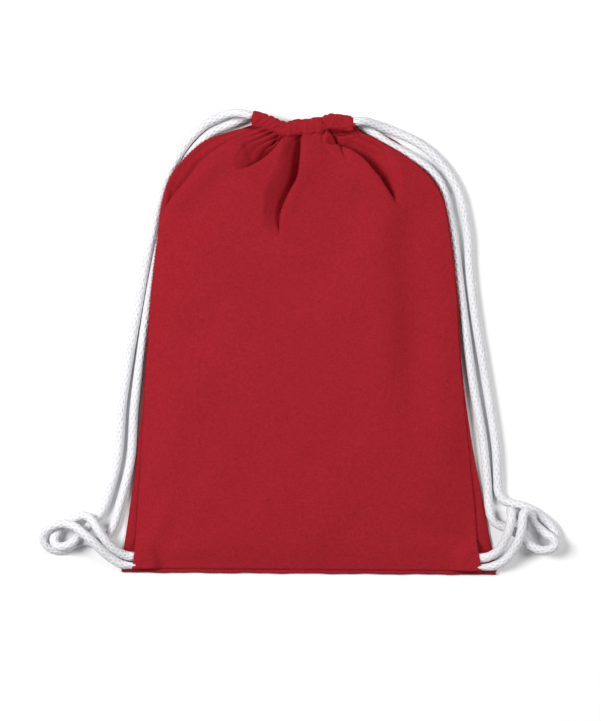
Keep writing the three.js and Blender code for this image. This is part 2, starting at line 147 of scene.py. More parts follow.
def spline(points, steps=24):
    """Points along a centripetal Catmull-Rom curve, `steps` to each span of `points`."""
    p = np.asarray(points, float)
    p = np.vstack([2 * p[0] - p[1], p, 2 * p[-1] - p[-2]])
    out = []
    for a, b, c, d in zip(p, p[1:], p[2:], p[3:]):
        t1 = math.sqrt(np.linalg.norm(b - a))
        t2 = t1 + math.sqrt(np.linalg.norm(c - b))
        t3 = t2 + math.sqrt(np.linalg.norm(d - c))
        t = np.linspace(t1, t2, steps, endpoint=False)[:, None]
        ab = (t1 - t) / t1 * a + t / t1 * b
        bc = (t2 - t) / (t2 - t1) * b + (t - t1) / (t2 - t1) * c
        cd = (t3 - t) / (t3 - t2) * c + (t - t2) / (t3 - t2) * d
        abc = (t2 - t) / t2 * ab + t / t2 * bc
        bcd = (t3 - t) / (t3 - t1) * bc + (t - t1) / (t3 - t1) * cd
        out.append((t2 - t) / (t2 - t1) * abc + (t - t1) / (t2 - t1) * bcd)
    return np.vstack(out + [p[-2:-1]])


def catmull_rom(points, spacing):
    """Evenly spaced points along the curve through `points`."""
    return resample(spline(points), spacing)


def resample(points, spacing):
    s = distances(points)
    n = max(2, int(round(s[-1] / spacing)))
    at = np.linspace(0, s[-1], n + 1)
    return np.stack([np.interp(at, s, points[:, i]) for i in range(points.shape[1])], axis=1)


def new_object(name, vertices, faces, material):
    """A mesh object from millimetre vertices."""
    mesh = bpy.data.meshes.new(name)
    mesh.from_pydata((np.asarray(vertices, float) * MM).tolist(), [], faces)
    mesh.validate()
    mesh.polygons.foreach_set("use_smooth", [True] * len(mesh.polygons))
    mesh.materials.append(material)
    obj = bpy.data.objects.new(name, mesh)
    bpy.context.scene.collection.objects.link(obj)
    return obj


def grid_faces(rows, columns, wrap=False):
    """Faces between rows of points; `wrap` joins the last column to the first."""
    faces = []
    last = columns if wrap else columns - 1
    for j in range(rows - 1):
        for i in range(last):
            a, b = j * columns + i, j * columns + (i + 1) % columns
            faces.append((a, b, b + columns, a + columns))
    return faces


def tube_faces(rings, sides):
    """Faces of a tube from rings of points, with a face over each end."""
    last = (rings - 1) * sides
    first_end = tuple(range(sides))
    last_end = tuple(last + i for i in range(sides))
    return [*grid_faces(rings, sides, wrap=True), first_end, last_end]


def unit(vectors):
    return vectors / np.linalg.norm(vectors, axis=-1, keepdims=True)


def distances(path):
    """Distance from the start of a path to each of its points."""
    return np.concatenate([[0], np.cumsum(np.linalg.norm(np.diff(path, axis=0), axis=1))])


def circle(sides):
    return np.linspace(0, 2 * math.pi, sides, endpoint=False)


def solidify(obj):
    modifier = obj.modifiers.new("thickness", "SOLIDIFY")
    modifier.thickness = CLOTH * MM
    modifier.offset = 0


def stands_on_bag(obj, node):
    """A piece that takes the place of a CAD node of the bag's body."""
    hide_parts(node)
    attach(obj, "bag")
    return obj


def along(values, t):
    """Values given at 0, 1, 2 and so on, at the places t."""
    return np.interp(t, np.arange(len(values)), values)


# --- materials --------------------------------------------------------------------------------------
def node_tree(name):
    material = bpy.data.materials.new(name)
    material.use_nodes = True
    nodes, links = material.node_tree.nodes, material.node_tree.links
    shader = nodes["Principled BSDF"]
    return material, nodes, links, shader


class Graph:
    """Short ways to add the shader nodes that the materials share."""

    def __init__(self, nodes, links):
        self.nodes = nodes
        self.links = links

    def add(self, kind, **inputs):
        """A node. Inputs are sockets to link or plain values, and _ stands for a space."""
        node = self.nodes.new(kind)
        for name, value in inputs.items():
            self.feed(node.inputs[name.replace("_", " ")], value)
        return node

    def feed(self, socket, value):
        if isinstance(value, bpy.types.NodeSocket):
            self.links.new(value, socket)
        else:
            socket.default_value = value

    def math(self, operation, *values):
        node = self.nodes.new("ShaderNodeMath")
        node.operation = operation
        for socket, value in zip(node.inputs, values):
            self.feed(socket, value)
        return node.outputs[0]

    def noise(self, vector, scale, detail, roughness):
        node = self.add("ShaderNodeTexNoise", Vector=vector, Scale=scale, Detail=detail,
                        Roughness=roughness)
        return node.outputs["Fac"]

    def ramp(self, factor, dark_at, dark, light_at, light):
        node = self.add("ShaderNodeValToRGB", Fac=factor)
        ends = node.color_ramp.elements
        ends[0].position = dark_at
        ends[0].color = (*dark, 1)
        ends[1].position = light_at
        ends[1].color = (*light, 1)
        return node.outputs["Color"]

    def bump(self, height, strength, distance):
        node = self.add("ShaderNodeBump", Strength=strength, Distance=distance, Height=height)
        return node.outputs["Normal"]


def cotton_material(name, colour, dark, weave_mm, bump):
    """Plain-woven matte cotton: crossed threads, slubs, and a slow drift of tone."""
    material, nodes, links, shader = node_tree(name)
    graph = Graph(nodes, links)
    where = nodes.new("ShaderNodeTexCoord").outputs["Object"]
    threads = []
    for axis in ("X", "Y"):
        wave = graph.add("ShaderNodeTexWave", Vector=where, Scale=2 * math.pi / (20 * weave_mm * MM),
                         Distortion=1.2, Detail=2, Detail_Scale=1.5)
        wave.wave_type = "BANDS"
        wave.bands_direction = axis
        threads.append(wave.outputs["Fac"])
    weave = graph.math("MULTIPLY", *threads)

    slubs = []
    for stretch in ((230, 1700, 900), (1700, 230, 900)):
        stretched = graph.add("ShaderNodeMapping", Vector=where, Scale=stretch).outputs["Vector"]
        slubs.append(graph.noise(stretched, 1, 3, 0.6))
    slub = graph.math("ADD", *slubs)
    drift = graph.math("MULTIPLY", graph.noise(where, 26, 5, 0.6), 0.2)
    tone = graph.math("SUBTRACT", graph.math("MULTIPLY_ADD", slub, 1.0, drift), 0.6)
    height = graph.math("MULTIPLY_ADD", slub, 0.8, weave)

    links.new(graph.ramp(tone, 0.22, dark, 0.78, colour), shader.inputs["Base Color"])
    links.new(graph.bump(height, bump, 0.0003), shader.inputs["Normal"])
    shader.inputs["Roughness"].default_value = 0.88
    shader.inputs["Specular IOR Level"].default_value = 0.08
    shader.inputs["Sheen Weight"].default_value = 0.05
    shader.inputs["Sheen Roughness"].default_value = 0.5
    shader.inputs["Sheen Tint"].default_value = (1.0, 0.15, 0.15, 1)
    return material


def braid_pattern(graph):
    """Height of the braid, about -1 in its grooves and 1 on its ridges, from the tube's coordinates."""
    where = graph.nodes.new("ShaderNodeUVMap")
    where.uv_map = "braid"
    parts = graph.add("ShaderNodeSeparateXYZ", Vector=where.outputs["UV"]).outputs
    hands = []
    for slope in (math.pi, -math.pi):
        climb = graph.math("MULTIPLY", parts["Y"], slope)
        hands.append(graph.math("COSINE", graph.math("MULTIPLY_ADD", parts["X"], 2 * math.pi, climb)))
    return graph.math("MAXIMUM", *hands)


def cord_material(name, colour, dark):
    """Loosely braided cotton yarn: fine fibres, a faint drift of tone, and painted shade in the braid's
    grooves.
    """
    material, nodes, links, shader = node_tree(name)
    graph = Graph(nodes, links)
    where = nodes.new("ShaderNodeTexCoord").outputs["Object"]
    plait_relief_and_shade = braid_pattern(graph)
    fibre = graph.noise(where, 1400, 3, 0.7)
    drift = graph.noise(where, 45, 3, 0.5)
    # Painted shade: the braid's grooves are darker in colour, on top of the fibres' and the drift's own
    # tone.
    tone = graph.math("MULTIPLY_ADD", plait_relief_and_shade, 0.3, graph.math("MULTIPLY_ADD", fibre, 0.45, drift))
    height = graph.math("MULTIPLY_ADD", fibre, 0.35, plait_relief_and_shade)

    links.new(graph.ramp(tone, 0.4, dark, 0.85, colour), shader.inputs["Base Color"])
    links.new(graph.bump(height, 0.7, 0.0005), shader.inputs["Normal"])
    shader.inputs["Roughness"].default_value = 0.85
    shader.inputs["Specular IOR Level"].default_value = 0.2
    shader.inputs["Sheen Weight"].default_value = 0.1
    return material


RED = cotton_material("cotton_red", (0.366, 0.0155, 0.0254), (0.240, 0.0089, 0.0152), 0.55, 0.35)
# The seams' cotton is the body's own cloth, painted 5% darker as shade along the rolled seams.
SHADED_SEAM_RED = cotton_material("cotton_red_seam_shaded", (0.348, 0.0146, 0.0240), (0.227, 0.0084, 0.0143),
                           0.55, 0.35)
THREAD_RED = cotton_material("thread_red", (0.32, 0.013, 0.022), (0.24, 0.009, 0.016), 0.3, 0.3)
WHITE = cord_material("cord_white", (0.80, 0.80, 0.825), (0.66, 0.66, 0.69))


# --- camera, floor and light --------------------------------------------------------------------------
VIEW_HEIGHT = 0.721                  # height of the floor that the frame takes in, in metres
VIEW_CENTRE = (-0.0083, -0.017)
CAMERA_DISTANCE = 3.0
FLOOR_REACH = 6.0                    # half the floor's side, in metres
SOFTBOX = (0.9, 1.3)


def add_camera():
    data = bpy.data.cameras.new("camera")
    data.sensor_width = 36
    data.lens = data.sensor_width * CAMERA_DISTANCE / VIEW_HEIGHT
    data.clip_end = 20
    camera = bpy.data.objects.new("camera", data)
    camera.location = (*VIEW_CENTRE, CAMERA_DISTANCE)
    bpy.context.scene.collection.objects.link(camera)
    bpy.context.scene.camera = camera


def add_floor():
    mesh = bpy.data.meshes.new("floor")
    corners = [(x * FLOOR_REACH, y * FLOOR_REACH, 0) for x, y in ((-1, -1), (1, -1), (1, 1), (-1, 1))]
    mesh.from_pydata(corners, [], [(0, 1, 2, 3)])
    material, _, _, shader = node_tree("floor")
    shader.inputs["Base Color"].default_value = (0.93, 0.93, 0.93, 1)
    shader.inputs["Roughness"].default_value = 0.9
    mesh.materials.append(material)
    floor = bpy.data.objects.new("floor", mesh)
    bpy.context.scene.collection.objects.link(floor)


def add_softbox(name, location, power):
    """A rectangular light that faces the bag's middle."""
    data = bpy.data.lights.new(name, "AREA")
    data.shape = "RECTANGLE"
    data.size, data.size_y = SOFTBOX
    data.energy = power
    light = bpy.data.objects.new(name, data)
    light.location = location
    light.rotation_euler = (-Vector(location)).to_track_quat("-Z", "Y").to_euler()
    bpy.context.scene.collection.objects.link(light)


def add_light():
    world = bpy.data.worlds.new("studio")
    world.use_nodes = True
    background = world.node_tree.nodes["Background"]
    background.inputs["Color"].default_value = (1, 1, 1, 1)
    background.inputs["Strength"].default_value = 0.13
    bpy.context.scene.world = world
    add_softbox("left_softbox", (-1.7, 0.5, 2.0), 73)
    add_softbox("right_softbox", (1.8, 0.4, 2.1), 39)
    bpy.context.scene.view_settings.view_transform = "Standard"


add_camera()
add_floor()
add_light()


# --- drawcords ------------------------------------------------------------------------------------
BRAID_SIDES = 32
BRAID_STEP = 1.0              # distance between rings
BRAID_STRANDS = 8             # ridges of each hand round the cord
BRAID_PITCH = 4.4             # length of one diamond of the braid
BRAID_RELIEF = 0.075          # part of the radius
IN_CASING = 7                 # how far a strand goes on inside the casing
IN_CORNER = 4                 # and inside the corner
IN_CORNER_DROP = 0.6
ENTRY_DROP = 1.5              # how far a strand sinks at the corner
ENTRY_FLAT = 0.35             # part of its height that it loses there
ENTRY_SPREAD = 0.4            # what its radius gains there
HIDDEN_THINNER = 0.5          # how much thinner the hidden cord is than the pressed one
HIDDEN_FLAT = 0.82            # its height to its width
END_POINTS = 14
TURN_POINTS = 11
TURN_SPLIT = 6                # place of the hidden cord's joints, past the middle of the casing
JOINT_GAP = 0.3


def frames_along(path):
    """Two normals at each point of a path, level and upright at its start, without twist."""
    tangents = unit(np.gradient(path, axis=0))
    normal = unit(np.cross(tangents[0], [0, 0, 1.0]))
    normals = []
    for tangent in tangents:
        normal = unit(normal - tangent * (normal @ tangent))
        normals.append(normal)
    normals = np.array(normals)
    return normals, np.cross(tangents, normals)


def braided_tube(name, path, radii, squash):
    """A round braid along a path; radii are per point, squash flattens it upright per point."""
    across, upright = frames_along(path)
    angle = circle(BRAID_SIDES)
    s = distances(path)
    turn = BRAID_STRANDS * angle[None, :] / (2 * math.pi)
    step = (s / BRAID_PITCH)[:, None]
    right_hand = np.cos(2 * math.pi * (turn + step / 2))
    left_hand = np.cos(2 * math.pi * (turn - step / 2))
    ridge = np.maximum(right_hand, left_hand) * 0.6 + right_hand * left_hand * 0.4
    radius = np.asarray(radii)[:, None] * (1 - BRAID_RELIEF / 2 + BRAID_RELIEF * ridge)
    ring = (path[:, None, :]
            + (radius * np.cos(angle))[..., None] * across[:, None, :]
            + (radius * np.sin(angle) * squash[:, None])[..., None] * upright[:, None, :])
    *faces, first_end, last_end = tube_faces(len(path), BRAID_SIDES)
    faces = [face[::-1] for face in faces]
    tube = new_object(name, ring.reshape(-1, 3), [*faces, first_end, last_end[::-1]], WHITE)
    add_braid_coordinates(tube.data, s)
    return tube


def add_braid_coordinates(mesh, s):
    """Texture coordinates: strands counted round the cord, and diamonds counted along it."""
    layer = mesh.uv_layers.new(name="braid")
    for polygon in mesh.polygons:
        corners = [divmod(v, BRAID_SIDES) for v in polygon.vertices]
        wraps = len(corners) == 4 and max(c for _, c in corners) - min(c for _, c in corners) > 1
        for loop, (ring, column) in zip(polygon.loop_indices, corners):
            around = BRAID_SIDES if wraps and column == 0 else column
            layer.data[loop].uv = (BRAID_STRANDS * around / BRAID_SIDES, s[ring] / BRAID_PITCH)


def add_strand(side, which, route):
    """A free strand, from just inside the casing to where it enters the corner seam."""
    inward = 1 if side == "left" else -1
    start = np.array(route[0], float) + [inward * IN_CASING, 0, 0]
    end = np.array(route[-1], float) + [inward * IN_CORNER, 0, -IN_CORNER_DROP]
    path = catmull_rom([start, *route, end], BRAID_STEP)
    s = np.linspace(0, 1, len(path)) * BRAID_STEP * (len(path) - 1)
    left = s[-1] - s
    pressed = 1 - smooth(2, 11, s)
    entering = 1 - smooth(3, 18, left)
    radii = CORD / 2 - (CORD - CORD_PRESSED) / 2 * pressed + ENTRY_SPREAD * entering
    path[:, 2] -= ENTRY_DROP * (1 - smooth(2, 26, left))
    body = f"drawcord_{side}"
    strand = braided_tube(f"{body}_{which}_braid", path, radii, 1 - ENTRY_FLAT * entering)
    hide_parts(f"{body}_{which}_strand")
    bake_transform(strand)


def add_run(side, part, path, radii):
    """Hidden cord that keeps to its channel in the casing."""
    body = f"drawcord_{side}"
    piece = braided_tube(f"{body}_casing_{part}_braid", path, radii, np.full(len(path), HIDDEN_FLAT))
    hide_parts(f"{body}_casing_loop")
    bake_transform(piece)


def add_casing_loop(side, channel, turn_x):
    """The drawcord's hidden length: along the front casing, round, and back along the other one."""
    away = 1 if side == "left" else -1
    channel = np.array(channel, float)
    order = np.argsort(channel[:, 0])
    centre_line = spline([(x, y, 0) for x, y in channel[order]])
    split = -TURN_SPLIT * away
    exit_x = channel[0, 0]

    def run(x0, x1, z):
        x = np.linspace(x0, x1, max(3, int(abs(x1 - x0) / 3)))
        return [(v, np.interp(v, centre_line[:, 0], centre_line[:, 1]), z) for v in x]

    for part, z in (("front_run", FRONT_RUN_Z), ("back_run", BACK_RUN_Z)):
        path = catmull_rom(run(exit_x, split, z), BRAID_STEP)
        s = np.arange(len(path)) * BRAID_STEP
        radii = CORD_PRESSED / 2 - HIDDEN_THINNER * smooth(0, 10, s)
        add_run(side, part, path, radii)
    radius = (FRONT_RUN_Z - BACK_RUN_Z) / 2
    turn_y = np.interp(turn_x, centre_line[:, 0], centre_line[:, 1])
    turn = [(turn_x + away * radius * math.cos(a), turn_y, BACK_RUN_Z + radius - radius * math.sin(a))
            for a in np.linspace(-math.pi / 2, math.pi / 2, TURN_POINTS)]
    joint_x = split + JOINT_GAP * away
    path = catmull_rom(run(joint_x, turn_x, FRONT_RUN_Z)[:-1] + turn
                       + run(turn_x, joint_x, BACK_RUN_Z)[1:], BRAID_STEP)
    radii = np.full(len(path), CORD_PRESSED / 2 - HIDDEN_THINNER)
    add_run(side, "turn", path, radii)


def add_sewn_end(side, number):
    """The flat end of a drawcord, held inside the bottom corner."""
    low, high = (np.array(c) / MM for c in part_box(f"drawcord_{side}_sewn_end_{number}"))
    y, z = (low[1] + high[1]) / 2, (low[2] + high[2]) / 2
    first, last = (low[0] + IN_CORNER, high[0]) if side == "left" else (low[0], high[0] - IN_CORNER)
    x = np.linspace(first, last, END_POINTS)
    path = np.stack([x, np.full(END_POINTS, y), np.full(END_POINTS, z)], axis=1)
    width, height = high[1] - low[1], high[2] - low[2]
    end = braided_tube(f"drawcord_{side}_end_{number}_braid", path, np.full(END_POINTS, width / 2),
                       np.full(END_POINTS, height / width))
    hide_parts(f"drawcord_{side}_sewn_end_{number}")
    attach(end, "bag")


# Where each drawcord runs along the casings, from its own end to its turn at the other one.
LEFT_CHANNEL = [
    (-49, 226.6), (-44, 224.4), (-38, 221.6), (-30, 218), (-23, 216.2), (-15, 217), (-5, 218.4),
    (5, 219.2), (14, 220.4), (22, 221.2), (36, 221.2),
]
RIGHT_CHANNEL = [
    (37, 218.6), (30, 216.6), (20, 216), (10, 214.6), (0, 213.4), (-10, 213), (-18, 212), (-23, 211.2),
    (-30, 212), (-38, 214.8), (-46, 217.4),
]

add_strand("left", "front", LEFT_FRONT_ROUTE)
add_strand("left", "back", LEFT_BACK_ROUTE)
add_strand("right", "front", RIGHT_FRONT_ROUTE)
add_strand("right", "back", RIGHT_BACK_ROUTE)
add_casing_loop("left", LEFT_CHANNEL, 28)
add_casing_loop("right", RIGHT_CHANNEL, -42)
for cord_side in ("left", "right"):
    add_sewn_end(cord_side, 1)
    add_sewn_end(cord_side, 2)


# --- cloth panels -----------------------------------------------------------------------------------
SPAN_STEPS = 24
SIDE_CURVES = [spline(EDGES[:, side], SPAN_STEPS) for side in (0, 1)]
SIDE_T = np.arange(LAST * SPAN_STEPS + 1) / SPAN_STEPS

# Upper edge of the gathered casing, along its length.
CASING_TOP = np.array([
    [-56.5, 230.6], [-54, 231], [-47, 229.4], [-40, 226.9], [-34, 225], [-30, 222.4], [-23, 220.2],
    [-17, 221.4], [-11, 222.8], [1.7, 222.9], [4.5, 224.4], [12, 224.6], [15, 226.7], [21.6, 228.4],
    [32, 227.4], [42.5, 225.6], [44.3, 225],
])
CASING_WIDTH = 14.2           # from the upper edge to the row of stitching
CASING_HALF_WIDTH = (CASING_WIDTH + 1.2) / 2
CASING_HALF_HEIGHT = 4.1
CASING_POWER = 2.6            # how square the casing's section is: 2 would be an ellipse
CASING_SIDES = 40
CASING_STEP = 0.8
END_PULL = 1.3                # how far the cloth draws in at the casing's ends
GROOVE_SPREAD = 0.6           # the lower, the further the gathers reach round the outer face
FOLD_SHARE = 0.55             # part of the body's folds that shows on the front casing
SLIT_LENGTH = 19              # of the slits for the turns, from the casing's ends
SLIT_FACE = 0.55              # how squarely the inner face looks inwards where the slits are
SLIT_BELOW = 0.75             # reach of the left slit towards the body, as a part of the half-width
SLIT_ABOVE = 0.05             # and towards the upper edge; the right slit is its mirror
CORD_COVER = 2.8              # least height of a casing's face over the middle of its cords
NECK_RISE = 3.7               # height of the panels over the middle of their casings at the stitching
OVER_CASING = np.linspace(0.1, 1, 10)    # rows that lap over the casing, past the stitching
HUMP_INSET = 6                # middle of a corner's hump, in from where the cords enter
HUMP_RISE = 7.2
HUMP_EDGE = (12, 27)          # distances between which the hump falls off
LAP_LIFT = 0.6                # of the body's cloth over the casing
LAP_END_DROP = 1.3            # of its last row
SEAM_HIDDEN = 0.75            # part of the rolled seam that the front hides above the corners

# Narrow gathers at the neck: place along the casing, half-width, depth.
FRONT_GATHERS = [
    (-46, 1.5, 1.2), (-39.5, 1.3, 3.4), (-33.5, 1.3, 3.6), (-28, 1.3, 3.0), (-22, 1.3, 3.4),
    (-17, 1.2, 0.9), (-7, 1.6, 2.2), (-1, 1.2, 0.2), (5.5, 1.3, 0.5), (14, 1.4, 3.4), (18.5, 1.2, 3.0),
    (26, 1.0, 1.6), (34, 1.4, 0.7),
]
BACK_GATHERS = [
    (-44, 1.9, 1.4), (-36, 1.5, 1.1), (-29, 1.7, 1.6), (-19, 1.6, 1.9), (-11, 1.4, 1.1), (-3, 1.6, 1.7),
    (6, 1.5, 1.3), (15, 1.7, 1.8), (23, 1.4, 1.1), (33, 1.7, 1.5),
]


def side_point(side, t):
    """A point of the outline, t counted in the pairs of EDGES."""
    curve = SIDE_CURVES[side]
    return np.stack([np.interp(t, SIDE_T, curve[:, k]) for k in (0, 1)], axis=-1)


def inset_point(side, t, inset):
    """A point set in from the outline: level along the lower edges, square to it at the shoulders."""
    t = np.asarray(t, float)
    step = 0.5 / SPAN_STEPS
    tangent = side_point(side, np.minimum(t + step, LAST)) - side_point(side, np.maximum(t - step, 0))
    offset = unit(np.stack([tangent[..., 1], -tangent[..., 0] * smooth(1, 3, t)], axis=-1))
    inward = 1 if side == 0 else -1
    return side_point(side, t) + offset * (inward * np.asarray(inset))[..., None]


def seam_width(side, t):
    """How far in the front's edge lies. It hides nearly all of the rolled seam above the corners."""
    hidden = SEAM_HIDDEN * (1 + SEAM_SPREAD[side]) * smooth(3.2, 5, t)
    return along(SEAM_WIDTH[side], t) * (1 - smooth(2.5, 4, t)) - hidden


def stitch_point(side, t):
    return inset_point(side, t, seam_width(side, t))


def seam_height(t):
    """Height of the side seams' middle over the floor."""
    return CORNER_SEAM_Z + (SHOULDER_SEAM_Z - CORNER_SEAM_Z) * smooth(0, 1, along(SEAM_RISE, t))


def casing_top(x):
    """The casing's upper edge."""
    return np.interp(x, CASING_TOP[:, 0], CASING_TOP[:, 1])


def lap(x):
    """How far the cloth of the body laps over the casing: most in the middle, where it is drawn up."""
    return 2.6 + 10 * smooth(-31, -20, x) * (1 - smooth(10, 17, x))


def casing_profile(x, y):
    """Height of a casing's outer face over its middle plane."""
    across = np.clip(np.abs(y - casing_top(x) + CASING_HALF_WIDTH) / CASING_HALF_WIDTH, 0, 0.999)
    return CASING_HALF_HEIGHT * (1 - across ** CASING_POWER) ** (1 / CASING_POWER)


def slant(x):
    """How far the gathers lean outwards as they run down, left and right of the middle."""
    return smooth(22, 30, -x) - smooth(12, 18, x) * (1 - smooth(28, 34, x))


def gathers(x, grooves):
    """Height of the cloth in the narrow gathers, 0 between them."""
    return -sum(depth * np.exp(-((x - at) / width) ** 2) for at, width, depth in grooves)


def corner_hump(x, y):
    """The rise of the front over the ends of the cords that are sewn into the corners."""
    away = []
    for front, back, inward in ((LEFT_FRONT_ROUTE, LEFT_BACK_ROUTE, 1),
                                (RIGHT_FRONT_ROUTE, RIGHT_BACK_ROUTE, -1)):
        centre_y = (front[-1][1] + back[-1][1]) / 2
        away.append(np.hypot(x - front[-1][0] - HUMP_INSET * inward, y - centre_y))
    return HUMP_RISE * (1 - smooth(*HUMP_EDGE, np.minimum(*away)))


def fold_coordinates(x, y, line):
    """How far along a fold line each point lies, 0 to 1, its distance from the line, positive on
    the right of someone walking down it, and the direction that way at the nearest place."""
    curve = catmull_rom([(*p, 0) for p in line], 1.5)[:, :2]
    best = np.full(x.shape, 1e9)
    u, d = np.zeros(x.shape), np.zeros(x.shape)
    right = np.zeros((*x.shape, 2))
    n = len(curve) - 1
    for i, (a, b) in enumerate(zip(curve, curve[1:])):
        # The nearest place on this piece of the line.
        length = np.hypot(*(b - a))
        ahead = (b - a) / length
        rx, ry = x - a[0], y - a[1]
        k = np.clip((rx * ahead[0] + ry * ahead[1]) / length, 0, 1)
        distance = np.hypot(rx - k * length * ahead[0], ry - k * length * ahead[1])
        nearer = distance < best
        best = np.where(nearer, distance, best)
        u = np.where(nearer, (i + k) / n, u)
        side = np.where(rx * ahead[1] - ry * ahead[0] < 0, -1, 1)
        d = np.where(nearer, distance * side, d)
        right[nearer] = (ahead[1], -ahead[0])
    return u, d, right


def fold(x, y, line, at, depth, width, wall, fade, lip=0.08, lean=0.2, lip_width=5):
    """A fold of the cloth: it drops steeply on the right of the line and rises again over `width`.

    `wall` is the part of the width that the drop takes, and the higher `fade` is, the sooner the
    cloth is up again. The cloth by the line stands up a little and leans out over the hollow."""
    u, d, right = fold_coordinates(x, y, line)
    depth = np.interp(u, at, depth)
    width = np.interp(u, at, width)
    k = d / width
    risen = np.clip((k - wall) / (1 - wall), 0, 1)
    hollow = np.where(d > 0, smooth(0, wall, k) * (1 - risen) ** fade, 0)
    edge = np.exp(-((d + 2.5) / lip_width) ** 2) * np.where(d < 0, 1, np.exp(-(d / 1.2) ** 2))
    z = -depth * hollow + lip * depth * edge
    shift = (lean * depth * np.exp(-(d / 3.2) ** 2) * (d < 1.5))[..., None] * right
    return z, shift


def front_folds(x, y):
    """Height added by the folds of the front, and how far the cloth leans sideways over them."""
    z = np.zeros(x.shape)
    lean = np.zeros((*x.shape, 2))

    # Deep pleat down from the middle of the neck.
    folds = [fold(
        x, y, [(-5.6, 224), (-5, 206), (-4.4, 194), (-5.2, 179), (-8, 163.5), (-14, 152.6),
               (-21, 139.5), (-26, 127), (-27.5, 104)],
        [0, 0.05, 0.15, 0.3, 0.5, 0.7, 0.88, 1],
        [1.5, 5.5, 12, 17.5, 18.5, 15, 7.5, 0],
        [6, 10, 17, 25, 29, 27, 18, 8], 0.07, 1.2)]

    # Curved fold on the left of the neck, with a wide hollow behind it and a narrow groove in that.
    folds.append(fold(
        x, y, [(-20, 221), (-22.5, 206), (-26.5, 198), (-31.5, 191), (-37, 185.3), (-43, 181),
               (-50.5, 176.8), (-59, 173.4), (-73, 171)],
        [0, 0.15, 0.3, 0.5, 0.75, 1], [1.5, 8, 15.5, 17.5, 11, 0], [5, 13, 24, 32, 32, 20], 0.1, 1.15))
    folds.append(fold(
        x, y, [(-26, 221), (-28, 211), (-31.5, 202), (-36, 195)],
        [0, 0.3, 0.7, 1], [1, 3.4, 3, 0], [2.5, 3.5, 4, 3], 0.3, 1.5))

    # Long crease down to the left shoulder: the body stands up along it, and falls to the seam.
    folds.append(fold(
        x, y, [(-56, 211), (-68.6, 203.8), (-86.8, 192.2), (-105, 177), (-113.2, 165.8), (-122.5, 154.5),
               (-130, 146), (-142, 134)],
        [0, 0.2, 0.5, 0.85, 1], [1, 3.4, 5, 4.8, 1.4], [14, 20, 26, 24, 13], 0.1, 0.9, 1.05, 0.8, 13))

    # Short sharp fold under the right end of the casing.
    folds.append(fold(
        x, y, [(38, 181), (33, 187), (28.7, 193), (25, 198.8), (21.5, 205), (18, 210.5), (14.6, 217),
               (12, 225)],
        [0, 0.4, 0.7, 0.88, 1], [0, 6, 9, 5, 1.5], [9, 11, 12, 10, 6], 0.14, 1.4))

    # Small hollow between that fold and the end of the casing.
    folds.append(fold(
        x, y, [(46, 206.5), (38, 205), (30, 204.5), (23.5, 208)],
        [0, 0.4, 0.8, 1], [0, 4.5, 5.5, 0], [6, 10, 10, 6], 0.2, 1.2))

    # Broad dark valley across the right shoulder.
    folds.append(fold(
        x, y, [(87, 139), (80.7, 145.7), (74.2, 154.1), (67.2, 163.3), (60.1, 171.7), (53.2, 180),
               (45, 186.7), (36.2, 191.8), (27, 195.5)],
        [0, 0.15, 0.35, 0.6, 0.85, 1], [1, 10, 16, 17, 15, 9], [9, 18, 27, 28, 22, 13], 0.08, 1.05))
    for drop, shift in folds:
        z = z + drop
        lean = lean + shift

    # The cloth puffs up between the folds.
    for cx, cy, rx, ry, rise in ((4, 186, 17, 22, 5.5), (-24, 178, 12, 22, 4.5), (48, 162, 26, 16, 2.5),
                                 (84, 176, 12, 14, 1.5), (-75, 182, 24, 10, 1.5)):
        z += rise * np.exp(-((x - cx) / rx) ** 2 - ((y - cy) / ry) ** 2)

    # Soft fold that goes on down the right of the body.
    u, d, _ = fold_coordinates(
        x, y, [(104, 150), (102, 120), (102, 70), (105, 10), (107, -60), (108, -120)])
    depth = np.interp(u, [0, 0.12, 0.4, 0.8, 1], [0, 4.6, 5.2, 3.4, 0])
    z -= depth * np.exp(-(d / 19) ** 2)
    z += 0.45 * depth * np.exp(-((d - 32) / 17) ** 2)

    # Faint creases running up from the corners.
    for line, depth_max in (
            ([(158, -205), (128, -172), (92, -140), (60, -118)], 1.3),
            ([(150, -214), (100, -196), (40, -178)], 0.8),
            ([(-160, -205), (-140, -160), (-128, -110)], 1.0),
            ([(-150, -212), (-100, -200), (-40, -190)], 0.7)):
        u, d, _ = fold_coordinates(x, y, line)
        depth = depth_max * np.interp(u, [0, 0.25, 1], [0.5, 1, 0])
        z += depth * (np.exp(-(d / 8) ** 2) - 0.8 * np.exp(-((d - 15) / 10) ** 2))
    return z, lean


def undulation(x, y, waves):
    """Sum of slanting sine waves: height, wavelengths over x and y, phase."""
    return sum(a * np.sin(x / wx + y / wy + phase) for a, wx, wy, phase in waves)


FRONT_WAVES = [(0.75, 31, -64, 0.4), (0.65, -47, 29, 1.7), (0.5, 22, 90, 3.1), (0.4, 90, 21, 5.0),
               (0.22, 12, -17, 2.2), (0.18, -9, 23, 4.1)]
BACK_WAVES = [(0.5, 35, -50, 2.4), (0.4, -42, 33, 0.7), (0.3, 19, 70, 1.1), (0.16, 11, -19, 0.2)]


PANEL_COLUMNS = 185
PANEL_LOW = -226.2
ROW_STEP = 2.3
FINE_FROM = 148               # height on the panel where the rows get closer, for the neck's folds
FINE_ROW_STEP = 0.85
CROWN_REACH = 85              # distance in from the edge where the front is at its full height
CROWN_POWER = 2.4
FOLDS_FROM = 8                # and where its folds are at their full depth
GATHERS_RUN = 1.1             # how far the gathers run down, in pairs of EDGES
FLAT_INSIDE = (10, 40)        # distances in from the edge between which the back sinks to the floor
RIPPLE = 1.4                  # height of the back's ripples over its waves
BACK_GATHERED = 0.7           # depth of the back's gathers on the panel, as a part of the casing's


